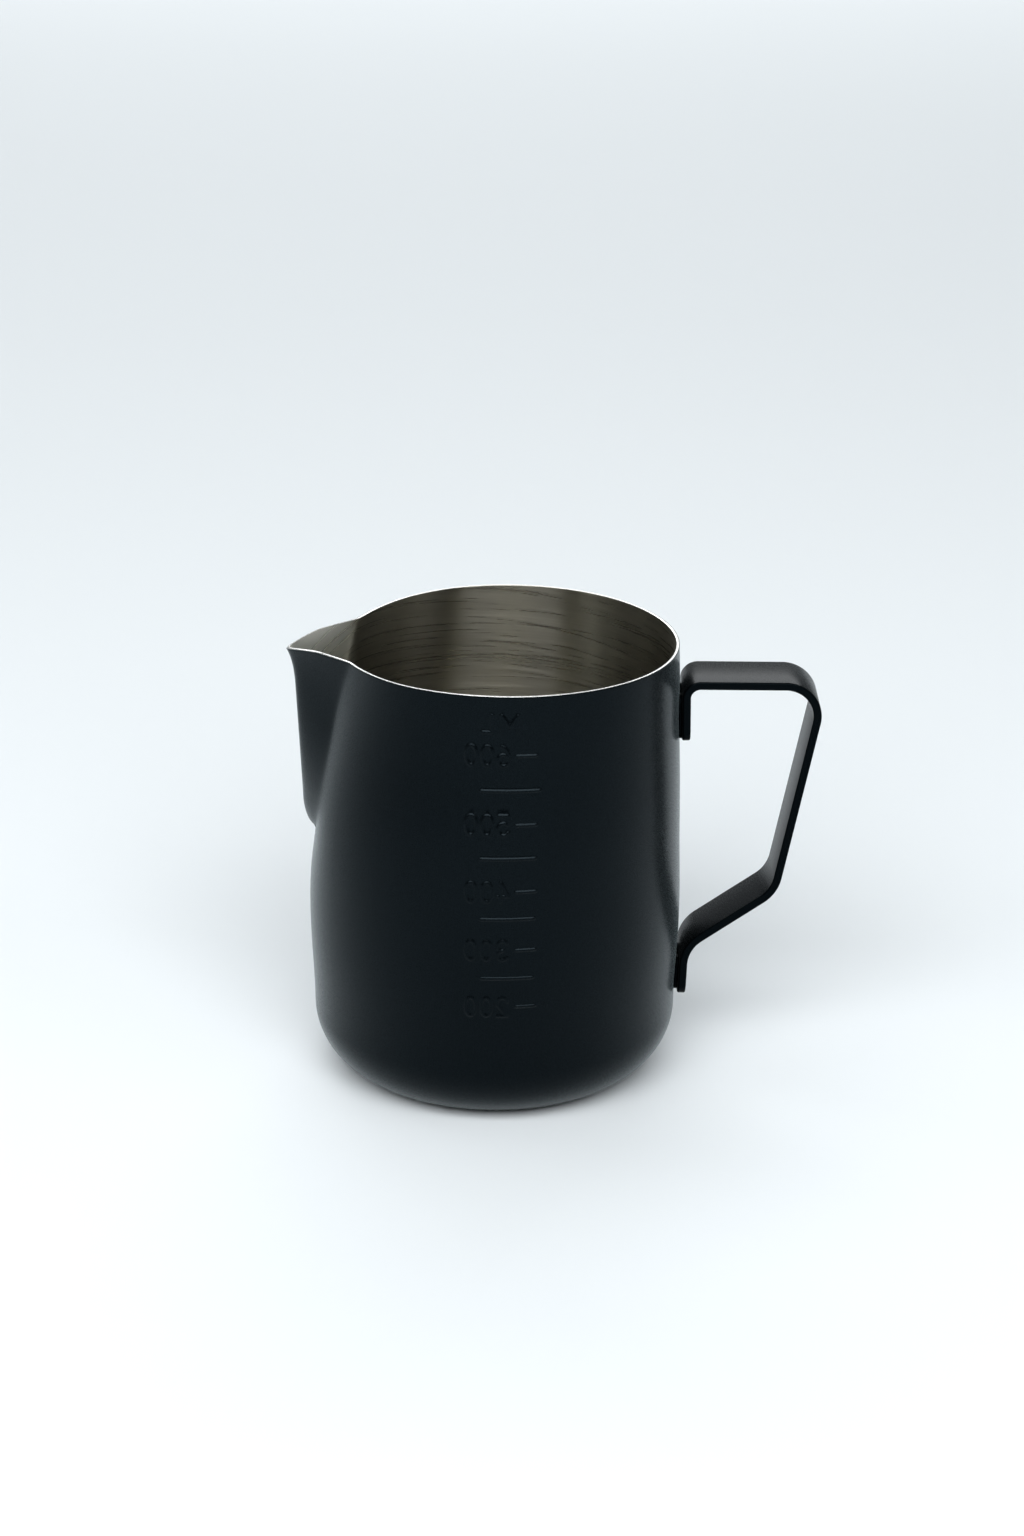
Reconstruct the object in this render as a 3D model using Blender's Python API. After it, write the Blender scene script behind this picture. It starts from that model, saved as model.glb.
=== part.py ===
"""Milk frothing pitcher: a deep-drawn steel vessel with a pressed V spout, a strap handle and spot welds.

Metres, +Z up. The origin is the centre of the flat base, on the surface that the pitcher stands on.
-X points along the spout and +X along the handle; the pitcher is symmetric about the XZ plane.
"""
import math

import bmesh
import bpy
import numpy as np
from mathutils import Vector

MM = 0.001

# Vessel: one sheet, drawn to a belly and a narrower neck
SHEET = 0.8 * MM
RIM_HEIGHT = 112.5 * MM
CORNER_HEIGHT = 16.4 * MM
CORNER_WIDTH = 16.4 * MM
SIDE_PROFILE = [  # (height, outer radius) from the top of the base corner to the rim
    (16.4 * MM, 45.6 * MM),
    (36.0 * MM, 46.4 * MM),
    (55.0 * MM, 46.3 * MM),
    (74.0 * MM, 45.2 * MM),
    (93.0 * MM, 43.2 * MM),
    (112.5 * MM, 41.9 * MM),
]
NECK_SHIFT = 3.0 * MM         # how far the neck's axis lies towards the handle at the rim
NECK_SHIFT_START = 56.0 * MM  # height where that shift begins
RIM_FALL_HANDLE = 0.5 * MM    # fall of the rim from its middle to the handle side
RIM_FALL_SPOUT = 0.9 * MM     # and to the spout's crease
RIM_FALL_REACH = 34.0 * MM    # distance of that crease from the base's axis

# Spout: a V pressed out of the upper wall
SPOUT_FOOT = 63.3 * MM        # height where the ridge leaves the wall
SPOUT_SHOULDER = 76.0 * MM    # above this the channel has its full width
SPOUT_HALF_WIDTH = 11.2 * MM
SPOUT_FLARE = 5.8 * MM        # extra half-width at the rim
SPOUT_FLARE_START = 94.0 * MM
RIDGE_LOW = 48.0 * MM         # ridge distance from the base's axis at the top of its lower round
RIDGE_LOW_HEIGHT = 72.0 * MM
RIDGE_SLOPE = 0.052
LIP_START = 99.0 * MM
LIP_LENGTH = 11.2 * MM
LIP_CURL = 1.9 * MM           # how far the tip curls outwards
LIP_DROP = 1.9 * MM           # how far the rim falls from the crease to the tip
LIP_DROP_START = 43.0 * MM
LIP_DROP_LENGTH = 8.8 * MM
NOSE = 1.4 * MM               # roundness of the ridge near the rim
NOSE_LOW = 3.2 * MM           # and near its foot
CREASE = 0.5 * MM             # softness of the crease between spout and wall
CREASE_FADE = 0.5             # the spout fades out within this share of its half-angle
FOOT_DIP = 0.95 * MM          # the wall is drawn in under the spout's foot
FOOT_DIP_HEIGHT = 9.0 * MM
FOOT_DIP_ANGLE = math.radians(16)
NECK_PULL = 0.45 * MM         # the neck is drawn in beside the crease
NECK_PULL_START = 88.0 * MM
NECK_PULL_ANGLE = math.radians(31)
NECK_PULL_SPREAD = math.radians(18)

# Handle: a flat strap, given by the corners of its middle line and the bend radius at each
STRAP_WIDTH = 16.0 * MM
STRAP_THICKNESS = 2.0 * MM
STRAP_EDGE = 0.35 * MM
STRAP_END_RADIUS = 3.5 * MM
STRAP_CORNERS = [  # (x, z, bend radius)
    (46.88 * MM, 87.8 * MM, 0.0),
    (46.62 * MM, 103.0 * MM, 3.4 * MM),
    (80.6 * MM, 102.9 * MM, 8.0 * MM),
    (69.8 * MM, 48.4 * MM, 9.5 * MM),
    (47.72 * MM, 32.9 * MM, 9.3 * MM),
    (47.23 * MM, 19.4 * MM, 0.0),
]

# Spot welds between the strap's tabs and the wall
WELD_RADIUS = 2.2 * MM
WELD_SPREAD = 3.6 * MM        # distance of each weld from the strap's middle line
WELD_DEPTH = 1.1 * MM         # how far a weld's pocket goes into the strap
WELD_HEIGHTS = {"upper": 94.0 * MM, "lower": 24.6 * MM}
CLEARANCE = 0.3 * MM

# Mesh density
PLAIN_COLUMNS = 24
CORNER_RINGS = 6
BEND_STEP = math.radians(12)
WELD_SIDES = 20

COATING = ("matte_black_coating", (0.014, 0.017, 0.019, 1.0), 0.5, 0.0)
BARE_STEEL = ("bare_steel", (0.55, 0.53, 0.50, 1.0), 0.35, 1.0)


def clear_scene():
    """Remove every object of the scene."""
    for obj in list(bpy.data.objects):
        bpy.data.objects.remove(obj, do_unlink=True)


def make_material(finish):
    """Return a Principled material from (name, colour, roughness, metallic)."""
    name, colour, roughness, metallic = finish
    material = bpy.data.materials.new(name)
    material.use_nodes = True
    shader = material.node_tree.nodes["Principled BSDF"]
    shader.inputs["Base Color"].default_value = colour
    shader.inputs["Roughness"].default_value = roughness
    shader.inputs["Metallic"].default_value = metallic
    return material


def add_object(name, mesh_builder, material):
    """Turn a bmesh into a named object with one material."""
    mesh = bpy.data.meshes.new(name)
    mesh_builder.to_mesh(mesh)
    mesh_builder.free()
    mesh.materials.append(material)
    obj = bpy.data.objects.new(name, mesh)
    bpy.context.scene.collection.objects.link(obj)
    return obj


def smooth_step(value):
    """Rise smoothly from 0 to 1 as value goes from 0 to 1."""
    value = min(max(value, 0.0), 1.0)
    return value * value * (3.0 - 2.0 * value)


def spline_slopes(points):
    """Slopes of a curvature-continuous spline that starts level and ends with no curvature."""
    count = len(points)
    matrix = np.zeros((count, count))
    right = np.zeros(count)
    matrix[0, 0] = 1.0
    for i in range(1, count - 1):
        before = points[i][0] - points[i - 1][0]
        after = points[i + 1][0] - points[i][0]
        rise_before = (points[i][1] - points[i - 1][1]) / before
        rise_after = (points[i + 1][1] - points[i][1]) / after
        matrix[i, i - 1:i + 2] = (1.0 / before, 2.0 / before + 2.0 / after, 1.0 / after)
        right[i] = 3.0 * (rise_before / before + rise_after / after)
    last = points[-1][0] - points[-2][0]
    matrix[-1, -2:] = (1.0, 2.0)
    right[-1] = 3.0 * (points[-1][1] - points[-2][1]) / last
    return np.linalg.solve(matrix, right)


SIDE_SLOPES = spline_slopes(SIDE_PROFILE)


def wall_radius(height):
    """Outer radius of the round wall above the base corner."""
    index = 0
    while index < len(SIDE_PROFILE) - 2 and height > SIDE_PROFILE[index + 1][0]:
        index += 1
    low, radius_low = SIDE_PROFILE[index]
    high, radius_high = SIDE_PROFILE[index + 1]
    span = high - low
    t = (height - low) / span
    return (
        radius_low * (2 * t**3 - 3 * t**2 + 1)
        + radius_high * (3 * t**2 - 2 * t**3)
        + SIDE_SLOPES[index] * span * (t**3 - 2 * t**2 + t)
        + SIDE_SLOPES[index + 1] * span * (t**3 - t**2)
    )


def neck_shift(height):
    """Distance of the wall's axis from the base's axis, towards the handle."""
    return NECK_SHIFT * smooth_step((height - NECK_SHIFT_START) / (RIM_HEIGHT - NECK_SHIFT_START))


def ridge_distance(height):
    """Distance of the spout's ridge from the base's axis."""
    if height < RIDGE_LOW_HEIGHT:
        start = wall_radius(SPOUT_FOOT) - neck_shift(SPOUT_FOOT) - FOOT_DIP
        t = (height - SPOUT_FOOT) / (RIDGE_LOW_HEIGHT - SPOUT_FOOT)
        return start + (RIDGE_LOW - start) * math.sqrt(max(0.0, 1.0 - (1.0 - t) ** 2))
    ridge = RIDGE_LOW + RIDGE_SLOPE * (height - RIDGE_LOW_HEIGHT)
    if height > LIP_START:
        ridge += LIP_CURL * ((height - LIP_START) / LIP_LENGTH) ** 3
    return ridge


def crease_half_width(height):
    """Half the width of the spout where it meets the round wall."""
    below = max(0.0, (SPOUT_SHOULDER - height) / (SPOUT_SHOULDER - SPOUT_FOOT))
    above = max(0.0, (height - SPOUT_FLARE_START) / (RIM_HEIGHT - SPOUT_FLARE_START))
    return SPOUT_HALF_WIDTH * math.sqrt(max(0.0, 1.0 - below**2)) + SPOUT_FLARE * above**1.6


def pulled_radius(angle, height):
    """Radius of the wall without the spout, drawn in under the spout's foot and beside its crease."""
    below = math.exp(-((height - SPOUT_FOOT) / FOOT_DIP_HEIGHT) ** 2)
    dip = FOOT_DIP * below * math.exp(-((angle / FOOT_DIP_ANGLE) ** 2))
    above = smooth_step((height - NECK_PULL_START) / (RIM_HEIGHT - NECK_PULL_START))
    pull = NECK_PULL * above * math.exp(-(((abs(angle) - NECK_PULL_ANGLE) / NECK_PULL_SPREAD) ** 2))
    return wall_radius(height) - dip - pull


def spout_radius(angle, height, half_width):
    """Distance from the wall's axis to the rounded V of the spout, at an angle from -X."""
    apex = ridge_distance(height) + neck_shift(height)
    nose = NOSE_LOW + (NOSE - NOSE_LOW) * smooth_step((height - SPOUT_FOOT) / (RIM_HEIGHT - SPOUT_FOOT))
    crease_angle = math.asin(half_width / wall_radius(height))
    crease_x = pulled_radius(crease_angle, height) * math.cos(crease_angle)
    steepness = max(apex - crease_x, 0.0) / (math.hypot(half_width, nose) - nose)
    virtual_apex = apex + nose * steepness
    a = math.cos(angle) ** 2 - (steepness * math.sin(angle)) ** 2
    b = virtual_apex * math.cos(angle)
    c = virtual_apex**2 - (steepness * nose) ** 2
    return c / (b + math.sqrt(max(b * b - a * c, 0.0)))


def vessel_radius(angle, height):
    """Distance from the wall's axis to the outer face, with the spout and the dip under its foot."""
    radius = pulled_radius(angle, height)
    if height <= SPOUT_FOOT:
        return radius
    half_width = max(crease_half_width(height), 0.5 * MM)
    beyond = abs(angle) / math.asin(half_width / wall_radius(height)) - 1.0
    if beyond >= CREASE_FADE:
        return radius
    proud = spout_radius(angle, height, half_width) - radius
    softness = CREASE * smooth_step((height - SPOUT_FOOT) / (RIDGE_LOW_HEIGHT - SPOUT_FOOT))
    return radius + 0.5 * (proud + math.hypot(proud, softness)) * (1.0 - smooth_step(beyond / CREASE_FADE))


def rim_fall(angle):
    """How far the rim lies below its highest point, at an angle from -X."""
    x = neck_shift(RIM_HEIGHT) - vessel_radius(angle, RIM_HEIGHT - LIP_DROP) * math.cos(angle)
    if x > 0.0:
        return RIM_FALL_HANDLE * (x / SIDE_PROFILE[-1][1]) ** 2
    lip = max(0.0, (-x - LIP_DROP_START) / LIP_DROP_LENGTH)
    return RIM_FALL_SPOUT * min(1.0, -x / RIM_FALL_REACH) ** 2 + LIP_DROP * lip**1.3


def vessel_point(angle, ring_height):
    """Point of the outer face; the top rings follow the rim's fall."""
    follow = smooth_step((ring_height - SPOUT_FLARE_START) / (RIM_HEIGHT - SPOUT_FLARE_START))
    height = ring_height - rim_fall(angle) * follow
    radius = vessel_radius(angle, height)
    x = neck_shift(height) - radius * math.cos(angle)
    return Vector((x, radius * math.sin(angle), height))


def column_angles():
    """Angles from -X all the way round, close together across the spout."""
    half = [math.radians(a) for a in (0, 1.3, 2.6, 4.2, 6, 8.5, 11, 13.5, 16, 18.5, 21, 24, 27, 31)]
    half += list(np.linspace(half[-1], math.pi, PLAIN_COLUMNS + 1)[1:])
    return half + [-a for a in reversed(half[1:-1])]


def ring_heights():
    """Heights of the rings from the base corner to the rim."""
    heights = (27, 38, 47, 54, 59, 62, 63.3, 64.3, 66, 69, 73, 78, 86, 94, 100, 104.5, 108, 110.5)
    return [z * MM for z in heights] + [RIM_HEIGHT]


def make_vessel(material):
    """The outer face as one open sheet, thickened inwards."""
    angles = column_angles()
    bm = bmesh.new()
    rings = []
    for i in range(CORNER_RINGS + 1):
        turn = 0.5 * math.pi * i / CORNER_RINGS
        radius = SIDE_PROFILE[0][1] - CORNER_WIDTH * (1.0 - math.sin(turn))
        height = CORNER_HEIGHT * (1.0 - math.cos(turn))
        rings.append([bm.verts.new((-radius * math.cos(a), radius * math.sin(a), height)) for a in angles])
    for height in ring_heights():
        rings.append([bm.verts.new(vessel_point(a, height)) for a in angles])
    bm.faces.new(rings[0])
    for lower, upper in zip(rings, rings[1:]):
        for i in range(len(angles)):
            j = (i + 1) % len(angles)
            bm.faces.new((lower[j], lower[i], upper[i], upper[j]))
    vessel = add_object("pitcher_body", bm, material)
    vessel.data.shade_smooth()
    vessel.data.set_sharp_from_angle(angle=math.radians(50))
    sheet = vessel.modifiers.new("Sheet", "SOLIDIFY")
    sheet.thickness = SHEET
    sheet.offset = -1.0
    sheet.use_even_offset = True
    return vessel


def bent_path(corners):
    """Points and directions along a line with rounded corners, as (x, z, direction angle)."""
    path = []
    for i, (x, z, bend) in enumerate(corners):
        here = Vector((x, z))
        into = (here - Vector(corners[i - 1][:2])).normalized() if i else None
        out = (Vector(corners[i + 1][:2]) - here).normalized() if i + 1 < len(corners) else None
        if into is None or out is None:
            way = out or into
            path.append((x, z, math.atan2(way.y, way.x)))
            continue
        turn = math.atan2(into.cross(out), into.dot(out))
        start = here - into * bend * math.tan(abs(turn) / 2)
        side = math.copysign(1.0, turn)
        first = math.atan2(into.y, into.x)
        centre = start + side * bend * Vector((-into.y, into.x))
        steps = math.ceil(abs(turn) / BEND_STEP)
        for k in range(steps + 1):
            way = first + turn * k / steps
            offset = side * bend * Vector((math.sin(way), -math.cos(way)))
            path.append((centre.x + offset.x, centre.y + offset.y, way))
    return path


def strap_stations():
    """Stations along the strap, as (x, z, direction, half width), with its rounded ends."""
    path = bent_path(STRAP_CORNERS)
    stations = []
    for end, inward in ((path[0], 1.0), (path[-1], -1.0)):
        x, z, way = end
        rounded = []
        for turn in (0, 30, 60, 90):
            along = STRAP_END_RADIUS * (1.0 - math.cos(math.radians(turn)))
            half = 0.5 * STRAP_WIDTH - STRAP_END_RADIUS * (1.0 - math.sin(math.radians(turn)))
            step = inward * along
            rounded.append((x + step * math.cos(way), z + step * math.sin(way), way, half))
        stations.append(rounded)
    middle = [(x, z, way, 0.5 * STRAP_WIDTH) for x, z, way in path[1:-1]]
    return stations[0] + middle + stations[1][::-1]


def make_strap(material):
    """The strap: a flat section with eased edges, swept along its bends."""
    bm = bmesh.new()
    half_thickness = 0.5 * STRAP_THICKNESS
    rings = []
    for x, z, way, half in strap_stations():
        across = (-math.sin(way), math.cos(way))
        section = []
        for side_y, side_n in ((-1, -1), (1, -1), (1, 1), (-1, 1)):
            flat = (side_y * (half - STRAP_EDGE), side_n * half_thickness)
            edge = (side_y * half, side_n * (half_thickness - STRAP_EDGE))
            section += [edge, flat] if side_y * side_n > 0 else [flat, edge]
        rings.append([bm.verts.new((x + n * across[0], y, z + n * across[1])) for y, n in section])
    for lower, upper in zip(rings, rings[1:]):
        for i in range(len(lower)):
            j = (i + 1) % len(lower)
            bm.faces.new((lower[i], lower[j], upper[j], upper[i]))
    bm.faces.new(rings[0])
    bm.faces.new(rings[-1])
    bmesh.ops.recalc_face_normals(bm, faces=bm.faces)
    strap = add_object("handle_strap", bm, material)
    strap.data.shade_smooth()
    strap.data.set_sharp_from_angle(angle=math.radians(35))
    return strap


def make_disc(name, radius, x_from, x_to, y, z, material):
    """A short cylinder along X."""
    bm = bmesh.new()
    bmesh.ops.create_cone(
        bm, cap_ends=True, segments=WELD_SIDES, radius1=radius, radius2=radius, depth=x_to - x_from
    )
    along_x = Vector((0, 0, 1)).rotation_difference(Vector((1, 0, 0))).to_matrix()
    bmesh.ops.rotate(bm, verts=bm.verts, matrix=along_x)
    disc = add_object(name, bm, material)
    disc.location = (0.5 * (x_from + x_to), y, z)
    disc.data.shade_smooth()
    disc.data.set_sharp_from_angle(angle=math.radians(35))
    return disc


def tab_face(height):
    """X of the strap's wall side at a height on one of its tabs."""
    ends = (STRAP_CORNERS[0], STRAP_CORNERS[1]) if height > 0.5 * RIM_HEIGHT else STRAP_CORNERS[:-3:-1]
    (x_low, z_low, _), (x_high, z_high, _) = ends
    middle = x_low + (x_high - x_low) * (height - z_low) / (z_high - z_low)
    return middle - 0.5 * STRAP_THICKNESS


def add_welds(strap, material):
    """Weld nuggets in shallow pockets of the tabs, clear of the wall and of the strap."""
    for place, height in WELD_HEIGHTS.items():
        nearest = max(
            wall_radius(height + dz) + neck_shift(height + dz) for dz in (-WELD_RADIUS, 0.0, WELD_RADIUS)
        )
        pocket_floor = tab_face(height) + WELD_DEPTH
        for side, direction in (("front", -1.0), ("back", 1.0)):
            y = direction * WELD_SPREAD
            pocket = make_disc(
                f"pocket_{place}_{side}",
                WELD_RADIUS + CLEARANCE,
                nearest - 2 * CLEARANCE,
                pocket_floor,
                y,
                height,
                material,
            )
            pocket.hide_render = True
            pocket.display_type = "WIRE"
            cut = strap.modifiers.new(pocket.name, "BOOLEAN")
            cut.operation = "DIFFERENCE"
            cut.solver = "EXACT"
            cut.object = pocket
            make_disc(
                f"weld_{place}_{side}",
                WELD_RADIUS,
                nearest + CLEARANCE,
                pocket_floor - CLEARANCE,
                y,
                height,
                material,
            )


def main():
    clear_scene()
    coating = make_material(COATING)
    steel = make_material(BARE_STEEL)
    make_vessel(coating)
    strap = make_strap(coating)
    add_welds(strap, steel)


main()
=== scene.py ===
"""Milk frothing pitcher: visible surfaces, materials, light and camera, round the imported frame.

The frame is in metres; the shapes below are worked out in millimetres and scaled by MM at the end.
-X points along the spout, +X along the handle, and the base stands on z = 0.
"""

import math

import bmesh
import bpy
import numpy as np
from mathutils import Matrix, Vector


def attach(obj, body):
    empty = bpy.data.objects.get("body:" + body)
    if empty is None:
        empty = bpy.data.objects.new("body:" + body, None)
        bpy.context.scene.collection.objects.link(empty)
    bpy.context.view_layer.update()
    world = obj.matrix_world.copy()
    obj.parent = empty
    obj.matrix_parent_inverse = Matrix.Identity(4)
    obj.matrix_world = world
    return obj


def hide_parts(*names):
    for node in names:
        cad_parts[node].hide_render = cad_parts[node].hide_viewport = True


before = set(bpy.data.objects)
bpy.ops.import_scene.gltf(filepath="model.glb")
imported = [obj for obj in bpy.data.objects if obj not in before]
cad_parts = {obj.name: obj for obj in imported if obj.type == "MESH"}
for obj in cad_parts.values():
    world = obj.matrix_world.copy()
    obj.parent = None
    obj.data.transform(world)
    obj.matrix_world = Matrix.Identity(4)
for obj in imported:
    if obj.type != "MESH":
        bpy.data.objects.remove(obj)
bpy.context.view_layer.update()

MM = 0.001

# Vessel, as in the CAD model
SHEET = 0.8
RIM_HEIGHT = 112.5
CORNER_HEIGHT = 16.4
CORNER_WIDTH = 16.4
SIDE_PROFILE = np.array([  # (height, outer radius) from the top of the base corner to the rim
    (16.4, 45.6),
    (36.0, 46.4),
    (55.0, 46.3),
    (74.0, 45.2),
    (93.0, 43.2),
    (112.5, 41.9),
])
NECK_SHIFT = 3.0
NECK_SHIFT_START = 56.0
RIM_FALL_HANDLE = 0.5
RIM_FALL_SPOUT = 0.9
RIM_FALL_REACH = 34.0
SPOUT_FOOT = 63.3
SPOUT_SHOULDER = 76.0
SPOUT_HALF_WIDTH = 11.2
SPOUT_FLARE = 5.8
SPOUT_FLARE_START = 94.0
RIDGE_LOW = 48.0
RIDGE_LOW_HEIGHT = 72.0
RIDGE_SLOPE = 0.052
LIP_START = 99.0
LIP_LENGTH = 11.2
LIP_CURL = 1.9
LIP_DROP = 1.9
LIP_DROP_START = 43.0
LIP_DROP_LENGTH = 8.8
NOSE = 1.4
NOSE_LOW = 3.2
CREASE = 0.5
CREASE_FADE = 0.5
FOOT_DIP = 0.95
FOOT_DIP_HEIGHT = 9.0
FOOT_DIP_ANGLE = math.radians(16)
NECK_PULL = 0.45
NECK_PULL_START = 88.0
NECK_PULL_ANGLE = math.radians(31)
NECK_PULL_SPREAD = math.radians(18)

# Sections through the sheet's edge, from outside to inside: (depth under the outer face, drop below the rim)
RIM_ZONE = 0.6                # the rings of the wall end this far below the rim
STEEL_OUTSIDE = 0.10
STEEL_EDGE = [
    (0.10, 0.36), (0.10, 0.14), (0.12, 0.06), (0.17, 0.02), (0.26, 0.0),
    (0.64, 0.0), (0.73, 0.02), (0.78, 0.06), (0.80, 0.14), (0.80, 0.36),
]
RIM_INSIDE_RINGS = 3          # the last rings of that section have the wall's brushed finish
COATING_DEPTH = 0.08
COATING_EDGE = [(0.0, 0.16), (0.02, 0.10), (0.05, 0.08), (0.08, 0.11)]

# Volume scale, pressed outwards in the front wall: it reads from the inside
MARK_HEIGHTS = {
    600: 97.9, 550: 89.3, 500: 80.9, 450: 72.6, 400: 64.3, 350: 57.4, 300: 49.4, 250: 42.1, 200: 34.5,
}
LONG_LINES = {550: (-3.3, 10.4), 450: (-3.4, 9.5), 350: (-3.4, 9.3), 250: (-3.2, 9.1)}  # x of their ends
TICK = (5.1, 9.6)             # and of the tick beside a number
DIGIT_CENTRES = (1.9, -1.95, -5.75)
DIGIT_HALF_WIDTH = 1.25
DIGIT_HALF_HEIGHT = 2.45
UNIT_HEIGHT = 105.8
UNIT_CENTRES = (3.3, -2.0)
UNIT_HALF_WIDTHS = (1.9, 1.1)
UNIT_HALF_HEIGHT = 2.1
LINE_RELIEF = 0.24
DIGIT_RELIEF = 0.24
RELIEF_CORE = 0.08            # within this distance of a stroke's line the relief is full
RELIEF_REACH = 0.60           # and here it ends

# Painted light: from here on, the spout's inside is coloured brighter than the wall
SPOUT_PAINTED_LIGHT = (-34.5, -37.0)  # x over which the pressed spout's brighter inside begins

# Strap, as in the CAD model
STRAP_WIDTH = 16.0
STRAP_THICKNESS = 2.0
STRAP_FILLET = 0.42
STRAP_FILLET_POINTS = 5
STRAP_END_RADIUS = 3.5
STRAP_END_POINTS = 10
STRAP_CORNERS = [  # (x, z, bend radius)
    (46.88, 87.8, 0.0),
    (46.62, 103.0, 3.4),
    (80.6, 102.9, 8.0),
    (69.8, 48.4, 9.5),
    (47.72, 32.9, 9.3),
    (47.23, 19.4, 0.0),
]
BEND_STEP = math.radians(3)

# Beads that close the gap between the wall and the strap's tabs, round each spot weld: partly the welded
# joint, and partly black put into the gap's shade, which is painted shade
BEAD_SPREAD = 3.6             # distance of each bead's middle from the strap's middle line
BEAD_HALF_WIDTH = 2.7
BEAD_SPANS = {"upper": (88.0, 99.6), "lower": (20.2, 29.0)}  # height of each bead's ends
BEAD_SQUARENESS = 2.6         # 2 is an ellipse, and more is squarer
BEAD_CLEARANCE = 0.02
BEAD_SIDES = 48
BEAD_RING_SHARES = (0.999, 0.75, 0.5, 0.25)  # size of the rings on each end face of a bead

# Looks: colours are linear, and where there are two, noise mixes them
COATING_COLOURS = ((0.0008, 0.0018, 0.0026), (0.0013, 0.0024, 0.0033))
COATING_SPECULAR_TINT = (0.68, 0.88, 1.0, 1.0)
COATING_SHEEN_TINT = (0.80, 0.95, 1.0, 1.0)
COATING_ROUGHNESS = (0.24, 0.30)
# The body and the handle wear one coating; the handle's copy has less gloss and sheen, which darkens its top
# faces: painted shade
BODY_GLOSS, BODY_SHEEN = 0.165, 0.145
HANDLE_GLOSS, HANDLE_SHEEN = 0.075, 0.025
WALL_STEEL = ((0.345, 0.334, 0.290), (0.54, 0.524, 0.458))
# Painted light: the spout's steel is coloured much brighter than the wall's
SPOUT_STEEL_PAINTED_LIGHT = ((0.80, 0.80, 0.73), (0.96, 0.96, 0.89))
RIM_STEEL = ((0.50, 0.51, 0.50), (0.58, 0.59, 0.58))
STEEL_ROUGHNESS = (0.24, 0.34)
BRUSHING = [  # (stretch along each axis, turn in degrees) of the two layers of brush streaks
    ((10.0, 10.0, 2000.0), (2.5, 1.5, 0.0)),
    ((8.0, 8.0, 1300.0), (-2.0, -3.5, 0.0)),
]
FLOOR_COLOURS = ((0.80, 0.846, 0.872), (0.82, 0.866, 0.892))
NOISE_RANGE = (0.3, 0.7)            # most of a noise texture's values lie between these

FLOOR_HALF_WIDTH = 15.0             # metres
FLOOR_HEIGHT = -0.00005

# Camera, in metres
LENS = 81.49
SENSOR_WIDTH = 36.0
CAMERA_PLACE = (0.0, -0.80517, 0.39405)
CAMERA_PITCH = math.radians(21.417)
CAMERA_YAW = math.radians(0.290)
CAMERA_ROLL = math.radians(0.417)

# Light: the softboxes are in metres and watts
WORLD_COLOUR = (0.93, 0.97, 1.0, 1.0)
WORLD_DARK = 0.03
WORLD_BRIGHT = 0.4
WORLD_DEPTH_RANGE = (-0.75, 0.35)   # share of the direction along +Y, from dark to bright
WORLD_HEIGHT_RANGE = (0.85, 0.35)   # share of the direction along +Z, from dark to bright
SOFTBOXES = [  # (name, place, target, width, height, power)
    ("key", (-0.08, -1.4, 1.35), (0.0, 0.1, 0.0), 2.3, 1.2, 41.0),
    ("fill", (-1.6, -0.9, 1.1), (0.0, 0.0, 0.05), 0.8, 0.9, 3.6),
    ("overhead", (-0.7, 0.5, 1.9), (-0.25, 0.2, 0.0), 1.2, 1.2, 4.5),
    ("side", (1.5, -0.8, 1.0), (0.0, 0.0, 0.1), 0.9, 0.8, 3.2),
    ("back", (0.0, 3.0, 1.75), (0.0, 2.3, 0.0), 3.2, 1.3, 48.0),
]


def smooth_step(value):
    """Rise smoothly from 0 to 1 as value goes from 0 to 1."""
    value = np.clip(value, 0.0, 1.0)
    return value * value * (3.0 - 2.0 * value)


def spline_slopes(points):
    """Slopes of a curvature-continuous spline that starts level and ends with no curvature."""
    count = len(points)
    matrix = np.zeros((count, count))
    right = np.zeros(count)
    matrix[0, 0] = 1.0
    for i in range(1, count - 1):
        before = points[i][0] - points[i - 1][0]
        after = points[i + 1][0] - points[i][0]
        rise_before = (points[i][1] - points[i - 1][1]) / before
        rise_after = (points[i + 1][1] - points[i][1]) / after
        matrix[i, i - 1:i + 2] = (1.0 / before, 2.0 / before + 2.0 / after, 1.0 / after)
        right[i] = 3.0 * (rise_before / before + rise_after / after)
    last = points[-1][0] - points[-2][0]
    matrix[-1, -2:] = (1.0, 2.0)
    right[-1] = 3.0 * (points[-1][1] - points[-2][1]) / last
    return np.linalg.solve(matrix, right)


SIDE_SLOPES = spline_slopes(SIDE_PROFILE)


def wall_radius(height):
    """Outer radius of the round wall above the base corner."""
    heights, radii = SIDE_PROFILE.T
    index = np.clip(np.searchsorted(heights, height) - 1, 0, len(heights) - 2)
    span = heights[index + 1] - heights[index]
    t = (height - heights[index]) / span
    return (
        radii[index] * (2 * t**3 - 3 * t**2 + 1)
        + radii[index + 1] * (3 * t**2 - 2 * t**3)
        + SIDE_SLOPES[index] * span * (t**3 - 2 * t**2 + t)
        + SIDE_SLOPES[index + 1] * span * (t**3 - t**2)
    )


def neck_shift(height):
    """Distance of the wall's axis from the base's axis, towards the handle."""
    return NECK_SHIFT * smooth_step((height - NECK_SHIFT_START) / (RIM_HEIGHT - NECK_SHIFT_START))


def ridge_distance(height):
    """Distance of the spout's ridge from the base's axis."""
    start = wall_radius(SPOUT_FOOT) - neck_shift(SPOUT_FOOT) - FOOT_DIP
    t = np.clip((height - SPOUT_FOOT) / (RIDGE_LOW_HEIGHT - SPOUT_FOOT), 0.0, 1.0)
    low = start + (RIDGE_LOW - start) * np.sqrt(1.0 - (1.0 - t) ** 2)
    curl = LIP_CURL * (np.maximum(height - LIP_START, 0.0) / LIP_LENGTH) ** 3
    high = RIDGE_LOW + RIDGE_SLOPE * (height - RIDGE_LOW_HEIGHT) + curl
    return np.where(height < RIDGE_LOW_HEIGHT, low, high)


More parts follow.
